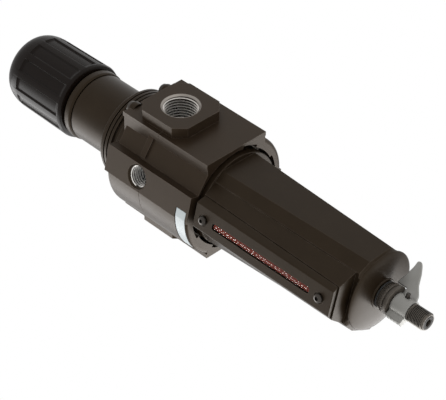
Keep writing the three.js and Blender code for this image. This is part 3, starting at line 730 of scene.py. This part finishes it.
def bonnet():
    """Flange with four ears, the panel thread, the long neck and its shoulder under the knob."""
    top = limits("bonnet")[1][2]
    section = [
        (BONNET_BORE, BONNET_FOOT), (27.0, BONNET_FOOT), (27.0, THREAD_LOW - 0.4),
        (THREAD_CORE, THREAD_LOW), (THREAD_CORE, THREAD_TOP - 0.6), (THREAD_CORE - 1, THREAD_TOP + 0.1),
        (BONNET_R + 1.2, THREAD_TOP + 0.5), (BONNET_R, THREAD_TOP + 1.7),
        (BONNET_R, NECK_TOP), (BONNET_R - 0.9, NECK_TOP + 0.2), (BONNET_R - 0.9, SHOULDER_TOP - 0.4),
        (BONNET_R - 1.6, SHOULDER_TOP), (14.4, SHOULDER_TOP), (14.4, top), (SCREW_WAY, top),
        (SCREW_WAY, 72.0), (BONNET_BORE, 72.0),
    ]
    shell = lathe("bonnet", rounded(section, 0.5, 3, closed=True), 128)
    for x, y in EARS:
        ear = shifted(rod("ear", EAR_R, 21.8, EAR_TOP, 40, 0.4), x, y, 0)
        low, high = (BONNET_BORE + 4, -BRIDGE_HALF, BONNET_FOOT), (math.hypot(x, y), BRIDGE_HALF, EAR_TOP)
        union(shell, ear, turned_z(block("bridge", low, high), math.atan2(y, x)))
        cut(shell, shifted(rod("hole", EAR_HOLE, 20, EAR_TOP + 1, 24), x, y, 0))
    return crisp(shell, 0.3, 2)


piece(bonnet(), PAINT, "housing_paint", "housing", "bonnet")
panel_thread = thread(
    "panel_thread", THREAD_ROOT, THREAD_R, PANEL_PITCH, THREAD_LOW + 0.1, THREAD_TOP - 2.9, PANEL_SHAPE,
    segments=120)
# painted shade in the grooves, the satin paint on the crests
piece(panel_thread, (GROOVE_PAINTED_SHADE, PAINT), "housing_paint", "housing")

COLLAR_LOW, COLLAR_HIGH = limits("bonnet_collar")
COLLAR_BORE, COLLAR_R = BONNET_R - 0.5, COLLAR_HIGH[0]
collar_section = rounded([
    (COLLAR_BORE, COLLAR_LOW[2]), (COLLAR_R - 0.5, COLLAR_LOW[2]), (COLLAR_R, COLLAR_LOW[2] + 1.2),
    (COLLAR_R, COLLAR_HIGH[2] - 0.5), (COLLAR_BORE, COLLAR_HIGH[2]),
], 0.3, 3, closed=True)
piece(lathe("bonnet_collar", collar_section, 128), PAINT, "housing_paint", "housing", "bonnet_collar")


def button_screw(name, head, height, shank, length, socket):
    """A button-head screw with a hexagon socket; the head's underside is at z = 0."""
    dome = ((1, 0), (1, 0.3), (0.93, 0.62), (0.76, 0.86), (0.5, 0.98))
    section = [(0, -length), (shank - 0.5, -length), (shank, 0.5 - length), (shank, 0)]
    section += [(head * across, height * up) for across, up in dome] + [(0, height)]
    screw = lathe(name, rounded(section, 0.12, 2), 48)
    cut(screw, prism("socket", hexagon(socket, 0.3), height * 0.35, height + 1))
    return crisp(screw, 0.08, 2)


for number, (x, y) in enumerate(EARS, start=1):
    node = f"bonnet_screw_{number}"
    screw = shifted(button_screw(f"{node}_detail", 3.7, 2.8, 2.0, 14.0, 1.7), x, y, EAR_TOP + 0.3)
    piece(screw, SCREW, "steel", "housing", node)


# ------------------------------------------------------------------ knob
KNOB_LOW, KNOB_HIGH = limits("adjusting_knob")
KNOB_R = KNOB_HIGH[0]
PANELS = 12
PANEL_HALF, PANEL_FIRST, PANEL_EDGE = math.radians(9.6), math.radians(10.7), 0.014
PANEL_DEPTH, PANEL_END = 0.95, 0.35
KNOB_BORE, KNOB_TAPER = 15.4, 0.4


def knob():
    """A domed grip with twelve sunk panels round its side."""
    bottom, top = KNOB_LOW[2], KNOB_HIGH[2]
    profile = [(KNOB_BORE, 100.0), (KNOB_BORE, bottom + 0.3), (KNOB_BORE + 0.5, bottom)]
    profile += [(KNOB_R - 1.1, bottom), (KNOB_R - 0.5, bottom + 0.35), (KNOB_R, bottom + 1.8)]
    sides = 34
    for k in range(1, sides):
        z = bottom + 1.8 + (top - 15.8 - bottom) * k / sides
        profile.append((KNOB_R - KNOB_TAPER * (z - bottom) / (top - 14 - bottom), z))
    falls = (
        (KNOB_TAPER, 14), (0.8, 10.5), (1.5, 7.5), (2.7, 4.9), (4.4, 2.9), (7.0, 1.5),
        (10.5, 0.6), (15.5, 0.1))
    crown = [(KNOB_R - inward, top - down) for inward, down in falls] + [(0, top)]
    profile += rounded(crown, 3.0, 3)
    inside = [(0, 112.0), (5.2, 112.0), (5.2, 96.2), (9.5, 96.2), (9.5, 100.0)]
    section = inside + profile
    low, high = bottom + 3.6, top - 14.2

    def sunk(r, z, angle):
        if r < KNOB_R - 1.4 or not low - 0.5 < z < high + 0.5:
            return r
        phase = (angle - PANEL_FIRST + math.pi / PANELS) % (TAU / PANELS) - math.pi / PANELS
        across = 1 - smooth_step(PANEL_HALF - PANEL_EDGE, PANEL_HALF + PANEL_EDGE, abs(phase))
        rise = smooth_step(low - PANEL_END, low + PANEL_END, z)
        fall = 1 - smooth_step(high - PANEL_END, high + PANEL_END, z)
        return r - PANEL_DEPTH * across * (rise * fall)

    return lathe("adjusting_knob_grip", section, 480, sunk, 40)


def smooth_step(a, b, x):
    """0 below a, 1 above b, and a smooth curve between them."""
    t = min(1.0, max(0.0, (x - a) / (b - a)))
    return t * t * (3 - 2 * t)


piece(knob(), KNOB, "knob_plastic", "knob", "adjusting_knob")


# ------------------------------------------------------------------ bowl
SHOULDER, FOOT, EDGE = -45.0, -146.0, -148.2
# Corners of the bowl's right half as (across, towards the front); the rest of its back is round.
TOP_CORNERS, TOP_R = [(16.4, 21.9), (21.9, 17.7), (27.2, -6.2)], 25.8
EDGE_CORNERS, EDGE_R = [(16.0, 19.9), (21.1, 13.5), (25.5, -2.1)], 22.2
DOME_R, DOME_TOP = 23.4, -149.2
COLLAR_OUT, RING_GROOVE, RING_LOW, RING_HIGH = 28.3, 26.8, -24.8, -21.2
KEEL_HALF, KEEL_TOP, KEEL_FOOT = 10.0, 28.0, 30.8
KEEL_ROOT_TOP, KEEL_ROOT_FOOT, KEEL_ROOT_DEPTH = 20.0, 16.8, 18.0
BOWL_TOP, BOWL_FLOOR = -18.0, -152.6
LUG_IN, LUG_OUT, LUG_LOW, LUG_HIGH, LUG_HALF = 26.0, 31.1, -35.5, -31.0, math.radians(9)
LUG_LOCK = math.radians(25)
SIGHT_FACE, SIGHT_HALF, SIGHT_ROOT, SIGHT_TOP, SIGHT_FOOT = 33.9, 7.3, 9.8, -45.6, -145.2
WINDOW_HALF, WINDOW_TOP, WINDOW_FOOT = 1.95, -59.0, -130.0
SCREW_WAY_R, SCREW_SEAT_R, SEAT_DEPTH = 1.75, 3.35, 0.35
SIGHT_OFFSET = -0.6                  # the window and its screws sit this far off the bar's middle
SIGHT_SCREWS = (-52.3, -137.2)


def keel_depth(z):
    """How far the keel's front stands from the bowl's axis at a height."""
    return KEEL_TOP + (KEEL_FOOT - KEEL_TOP) * (SHOULDER - z) / (SHOULDER - FOOT)


def front_bar(name, *sections):
    """A bar down the bowl's front. Each section is a height and its right half as [(across, depth)]."""
    rings = []
    for z, half in sections:
        right = [(across, -depth, z) for across, depth in half]
        rings.append(right + [(-x, y, z) for x, y, z in reversed(right)])
    return loft(name, rings)


def front_rod(name, radius, low, high, z, edge=0.0):
    """A round bar that points to the front, from one depth to another."""
    return shifted(to_front(rod(name, radius, low, high, 40, edge)), 0, 0, z)


def flat_sided(z, corners, back, roundness=0.0, round_radius=0.0, steps=12):
    """The bowl's outline at a height, from its corners, blended by roundness towards a circle."""
    angles = [math.radians(-35 - 5 * k) for k in range(12)]
    back_arc = [(back * math.cos(a), back * math.sin(a)) for a in angles]
    right = corners + back_arc
    loop = [(x, -y) for x, y in right] + [(-x, -y) for x, y in reversed(right[:-1])]
    points = []
    for here, after in zip(loop, loop[1:] + loop[:1]):
        for k in range(steps):
            x, y = (here[i] + (after[i] - here[i]) * k / steps for i in (0, 1))
            distance = math.hypot(x, y)
            scale = 1 + roundness * (round_radius / distance - 1)
            points.append((x * scale, y * scale, z))
    return points


def bowl_casting():
    """The bowl with its dome, flats, collar, keel and lugs, built facing -Y and then turned."""
    rings = []
    for k in range(1, 15):
        a = math.radians(6 * k)
        low = DOME_TOP - (DOME_TOP - BOWL_FLOOR - 0.6) * math.cos(a)
        rings.append(flat_sided(low, EDGE_CORNERS, EDGE_R, 1.0, DOME_R * math.sin(a)))
    rings += [
        flat_sided(DOME_TOP + 0.2, EDGE_CORNERS, EDGE_R, 0.95, DOME_R),
        flat_sided(EDGE - 0.5, EDGE_CORNERS, EDGE_R, 0.6, DOME_R),
        flat_sided(EDGE, EDGE_CORNERS, EDGE_R), flat_sided(SHOULDER, TOP_CORNERS, TOP_R),
    ]
    sides = loft("bowl_casting", rings)
    collar = lathe("collar", rounded([
        (0, SHOULDER), (COLLAR_OUT, SHOULDER), (COLLAR_OUT, RING_LOW), (RING_GROOVE, RING_LOW),
        (RING_GROOVE, RING_HIGH), (COLLAR_OUT, RING_HIGH), (COLLAR_OUT, BOWL_TOP), (0, BOWL_TOP),
    ], 0.5, 3), 128)
    keel = front_bar(
        "keel", (FOOT, [(8, 6), (KEEL_ROOT_FOOT, KEEL_ROOT_DEPTH), (KEEL_HALF, KEEL_FOOT)]),
        (SHOULDER, [(8, 6), (KEEL_ROOT_TOP, KEEL_ROOT_DEPTH), (KEEL_HALF, KEEL_TOP)]))
    boss = rod("boss", 8.8, BOWL_FLOOR, FOOT - 3, 64, 0.6)
    union(sides, collar, keel, boss)
    for angle in LUG_ANGLES:
        locked = angle - LUG_LOCK - FRONT_TURN
        union(sides, sector("lug", LUG_IN, LUG_OUT, LUG_LOW, LUG_HIGH, locked, LUG_HALF))
    inside = lathe("inside", [
        (0, FOOT - 4.5), (12, FOOT - 3.2), (19.4, FOOT), (22.4, SHOULDER), (23.5, SHOULDER + 4),
        (23.5, BOWL_TOP + 1), (0, BOWL_TOP + 1)], 96)
    cut(sides, inside, block("window", (-3.1, -36, WINDOW_FOOT), (3.1, -16, WINDOW_TOP)),
        rod("drain_way", 4.5, -160, -140, 48),
        *[front_rod("screw_way", SCREW_WAY_R, 23.5, 40, z) for z in SIGHT_SCREWS])
    return turned_z(crisp(sides, 0.35, 3), FRONT_TURN)


piece(bowl_casting(), PAINT, "housing_paint", "bowl_unit", "bowl")


def sight_frame():
    """The raised bar that holds the lens against the keel."""
    edge = [(SIGHT_HALF + 0.7, SIGHT_FACE - 0.9), (SIGHT_HALF, SIGHT_FACE)]
    sections = [(z, [(SIGHT_ROOT, keel_depth(z) + 0.3)] + edge) for z in (SIGHT_FOOT, SIGHT_TOP)]
    bar = crisp(front_bar("sight_frame", *sections), 0.35, 3, 30)
    slot = to_front(prism("slot", window_outline(0.0, 1.2), 20, 40))
    pocket = block("pocket", (-4.5, 1.8 - SIGHT_FACE, WINDOW_FOOT - 3), (4.5, -20, WINDOW_TOP + 3))
    cut(bar, shifted(slot, SIGHT_OFFSET, 0, 0), pocket)
    for z in SIGHT_SCREWS:
        way = front_rod("screw_way", SCREW_WAY_R, 20, 40, z)
        cut(bar, shifted(way, SIGHT_OFFSET, 0, 0))
        seat = front_rod("screw_seat", SCREW_SEAT_R, SIGHT_FACE - SEAT_DEPTH, 40, z)
        cut(bar, shifted(seat, SIGHT_OFFSET, 0, 0))
    return turned_z(crisp(bar, 0.2, 2, 50), FRONT_TURN)


def window_outline(grow, corner):
    """The window's outline across and up, grown by a margin."""
    half, low, high = WINDOW_HALF + grow, WINDOW_FOOT - grow, WINDOW_TOP + grow
    return rounded([(-half, low), (half, low), (half, high), (-half, high)], corner, 5, closed=True)


def window_strip(name, grow, corner, low, high):
    """A strip in the window, from one depth to another, with softened edges."""
    strip = shifted(to_front(prism(name, window_outline(grow, corner), low, high)), SIGHT_OFFSET, 0, 0)
    return turned_z(crisp(strip, 0.1, 2), FRONT_TURN)


piece(sight_frame(), PAINT, "housing_paint", "bowl_unit", "sight_frame")
lens = window_strip("clear_window", -0.15, 1.0, SIGHT_FACE - 0.6, SIGHT_FACE - 0.25)
piece(lens, LENS, "lens_clear", "bowl_unit", "sight_lens")
backing = window_strip("window_backing", 0.6, 1.0, SIGHT_FACE - 1.75, SIGHT_FACE - 1.35)
piece(backing, RUBBER, "rubber", "bowl_unit")
indicator = window_strip("float_strip", -0.55, 0.7, SIGHT_FACE - 1.3, SIGHT_FACE - 0.85)
piece(indicator, INDICATOR, "indicator_red", "bowl_unit", "level_indicator")
DOTS, DOT_END = 25, 2.4              # how many dots, and how far the outer ones are from the window's ends
for k in range(DOTS):
    z = WINDOW_TOP - DOT_END - (WINDOW_TOP - WINDOW_FOOT - 2 * DOT_END) * k / (DOTS - 1)
    top = SIGHT_FACE - 0.72
    dot = lathe(f"indicator_dot_{k + 1:02d}", [
        (0, top - 0.2), (0.52, top - 0.2), (0.48, top - 0.07), (0.3, top - 0.02), (0, top)], 20)
    piece(turned_z(shifted(to_front(dot), SIGHT_OFFSET, 0, z), FRONT_TURN), DOT, "indicator_red", "bowl_unit")

for number, z in enumerate(SIGHT_SCREWS, start=1):
    screw = button_screw(f"sight_screw_{number}_detail", 2.6, 1.7, 1.4, 9.7, 1.25)
    screw = turned_z(shifted(to_front(screw), SIGHT_OFFSET, -SIGHT_FACE - 0.3, z), FRONT_TURN)
    piece(screw, SCREW, "steel", "bowl_unit", f"sight_screw_{number}")


# ------------------------------------------------------------------ drain
TIP_R, TIP_TOP, TIP_PITCH, TIP_SHAPE = 5.15, -172.0, 0.94, (0.24, 0.46, 0.62, 0.84)
NUT_LOW, NUT_RIBS, NUT_BORE = -161.0, 36, 4.5
STEM_END, STEM_R, HEAD_R, HEAD_LOW, HEAD_HIGH = limits("drain_stem")[0][2], 4.2, 7.0, -149.6, -147.6
HUB_BORE, HUB_R, WING_THICK = 4.5, 5.9, 2.2
TAIL_R, TAIL_THICK, TAIL_GROOVES, GROOVE_STEP = 9.2, 4.4, 4, 2.1
LEVER_TURN = FRONT_TURN + math.radians(46)
PIN_TURN = LEVER_TURN + math.radians(-40)

piece(ring("drain_gasket_ring", 4.5, 7.8, -153.9, -152.9, 0.3), RUBBER, "rubber", "bowl_unit", "drain_gasket")


def drain_nut():
    """A collar with a ribbed band between two grooves."""
    rises = (
        (NUT_BORE, 0), (7.9, 0), (8.5, 0.5), (8.5, 2.0), (8.2, 2.3), (7.5, 2.4), (7.5, 3.0), (8.1, 3.2),
        (8.4, 3.5), (8.4, 4.9), (8.1, 5.2), (7.4, 5.4), (7.4, 6.0), (8.0, 6.2), (8.0, 6.6), (7.8, 6.8),
        (NUT_BORE, 6.8),
    )

    def ribbed(r, z, angle):
        on_band = r > 8.0 and NUT_LOW + 3.1 < z < NUT_LOW + 5.3
        return r - (0.28 * (0.5 + 0.5 * math.cos(NUT_RIBS * angle)) ** 2 if on_band else 0.0)

    return lathe("drain_nut_collar", [(r, NUT_LOW + up) for r, up in rises], 360, ribbed, 40)


piece(drain_nut(), DRAIN, "drain_metal", "bowl_unit", "drain_nut")


def drain_stem():
    """The tube that turns with the lever: a head inside the bowl and the core of its threaded tip."""
    root = TIP_R - 0.5
    core = [
        (2.0, STEM_END + 0.3), (2.3, STEM_END), (TIP_R - 0.75, STEM_END), (root, STEM_END + 0.4),
        (root, TIP_TOP - 1.0), (TIP_R - 0.15, TIP_TOP - 0.8), (TIP_R, TIP_TOP - 0.5), (TIP_R, TIP_TOP - 0.1),
        (TIP_R - 0.2, TIP_TOP), (STEM_R, TIP_TOP), (STEM_R, HEAD_LOW), (HEAD_R, HEAD_LOW),
        (HEAD_R, HEAD_HIGH), (2.0, HEAD_HIGH),
    ]
    return lathe("drain_stem_tube", core, 96)


piece(drain_stem(), DRAIN, "drain_metal", "drain", "drain_stem")
# painted shade: the tip's end face takes the near-black groove look
tip_face = ring("drain_tip_face", 2.1, TIP_R - 1.1, STEM_END - 0.06, STEM_END + 0.3, 0.1)
piece(tip_face, GROOVE_SHADE_DARK, "drain_metal", "drain")
# painted shade in the tip thread's grooves, the drain metal's own colour on the crests
tip_thread = thread(
    "drain_tip_thread", TIP_R - 0.6, TIP_R, TIP_PITCH, STEM_END + 0.35, TIP_TOP - 1.1, TIP_SHAPE)
piece(tip_thread, (GROOVE_SHADE_DARK, DRAIN_CREST), "drain_metal", "drain")


def radial_plate(name, outline, thickness, turn):
    """A flat radial plate from its outline as [(radius, height)]."""
    flat = prism(name, outline, -thickness / 2, thickness / 2)
    return turned_z(moved(flat, Matrix.Rotation(math.pi / 2, 4, "X")), turn)


def drain_lever():
    """A wing on one side of the hub and a short ribbed block on the other."""
    low, high = TIP_TOP + 0.3, NUT_LOW - 0.3
    hub = lathe("drain_lever_wing", rounded(
        [(HUB_BORE, low), (HUB_R, low), (HUB_R, high), (HUB_BORE, high)], 0.3, 3, closed=True), 72)
    rises = (
        (4.6, 1), (9, 2.6), (13.6, 6.4), (19.4, 9.2), (23.1, 11.6), (24.8, 13.2), (24.0, 15.1), (20.7, 14.9),
        (15.1, 15.6), (9, 17.2))
    wing = [(r, low + up) for r, up in rises] + [(9, high), (4.6, high)]
    wing = radial_plate("blade", rounded(wing, 0.9, 4, closed=True), WING_THICK, LEVER_TURN)
    blade = crisp(wing, 0.45, 3, 40)
    block_outline = [(-TAIL_R, low + 0.4), (-4.8, low + 0.4), (-4.8, high), (-TAIL_R, high)]
    tail = radial_plate("tail", block_outline, TAIL_THICK, LEVER_TURN)
    union(hub, blade, crisp(tail, 0.5, 3, 40))
    for k in range(TAIL_GROOVES):
        foot, head = low + 1.7 + GROOVE_STEP * k, low + 2.5 + GROOVE_STEP * k
        outline = [(-10, foot), (0.5 - TAIL_R, foot), (0.5 - TAIL_R, head), (-10, head)]
        cut(hub, radial_plate("rib_way", outline, 6, LEVER_TURN))
    hole = shifted(along_x(rod("pin_way", 1.5, 0, 10, 40)), 0, 0, (low + high) / 2)
    cut(hub, turned_z(hole, PIN_TURN), rod("stem_way", HUB_BORE, -190, -140, 72))
    return crisp(hub, 0.15, 2, 45)


# the lever takes the lighter look, which is a painted reflection
piece(drain_lever(), LEVER_PAINTED_REFLECTION, "drain_metal", "drain", "drain_lever")
pin = shifted(along_x(rod("lever_set_screw_pin", 1.2, 4.9, 8.2, 40, 0.25)), 0, 0, (NUT_LOW + TIP_TOP) / 2)
piece(turned_z(pin, PIN_TURN), SCREW, "steel", "drain", "lever_set_screw")


# ------------------------------------------------------------------ camera, light, floor
def add_camera():
    """The photograph's viewpoint, found by least squares from the object's edges."""
    right = Vector((0.01089, 0.71732, -0.69666))
    up = Vector((0.77672, 0.43271, 0.45769))
    toward = Vector((0.62976, -0.54609, -0.55244))
    data = bpy.data.cameras.new("camera")
    data.sensor_width = 36.0
    data.lens = 152.46
    camera = link(bpy.data.objects.new("camera", data))
    rotation = Matrix((right, up, toward)).transposed().to_4x4()
    camera.matrix_world = Matrix.Translation((0.64911, -0.56962, -0.60993)) @ rotation
    bpy.context.scene.camera = camera


add_camera()


def area_light(name, direction, distance, size, power):
    """A soft square light that shines on the object from a direction in the frame."""
    data = bpy.data.lights.new(name, "AREA")
    data.size = size
    data.energy = power
    lamp = link(bpy.data.objects.new(name, data))
    away = Vector(direction).normalized()
    facing = away.to_track_quat("Z", "Y").to_matrix().to_4x4()
    lamp.matrix_world = Matrix.Translation(away * distance) @ facing


def add_light():
    """An even white surround with two soft lights."""
    world = bpy.data.worlds.new("studio")
    world.use_nodes = True
    background = world.node_tree.nodes["Background"]
    background.inputs["Color"].default_value = (1.0, 1.0, 1.0, 1.0)
    background.inputs["Strength"].default_value = 1.0
    bpy.context.scene.world = world
    bpy.context.scene.view_settings.view_transform = "Standard"
    area_light("left", (-0.62, -0.45, 0.6), 1.3, 1.0, 11.0)
    area_light("low", (-0.80, 0.28, -0.48), 1.2, 1.0, 15.0)


add_light()

FLOOR_HALF, FLOOR_TOP = 40000.0, -1150.0
floor = block("floor", (-FLOOR_HALF, -FLOOR_HALF, FLOOR_TOP - 12), (FLOOR_HALF, FLOOR_HALF, FLOOR_TOP))
floor_look = plastic_look("pale_floor", (0.86, 0.86, 0.85), (0.90, 0.90, 0.89), (0.6, 0.8), 40.0)
floor.data.materials.append(floor_look)
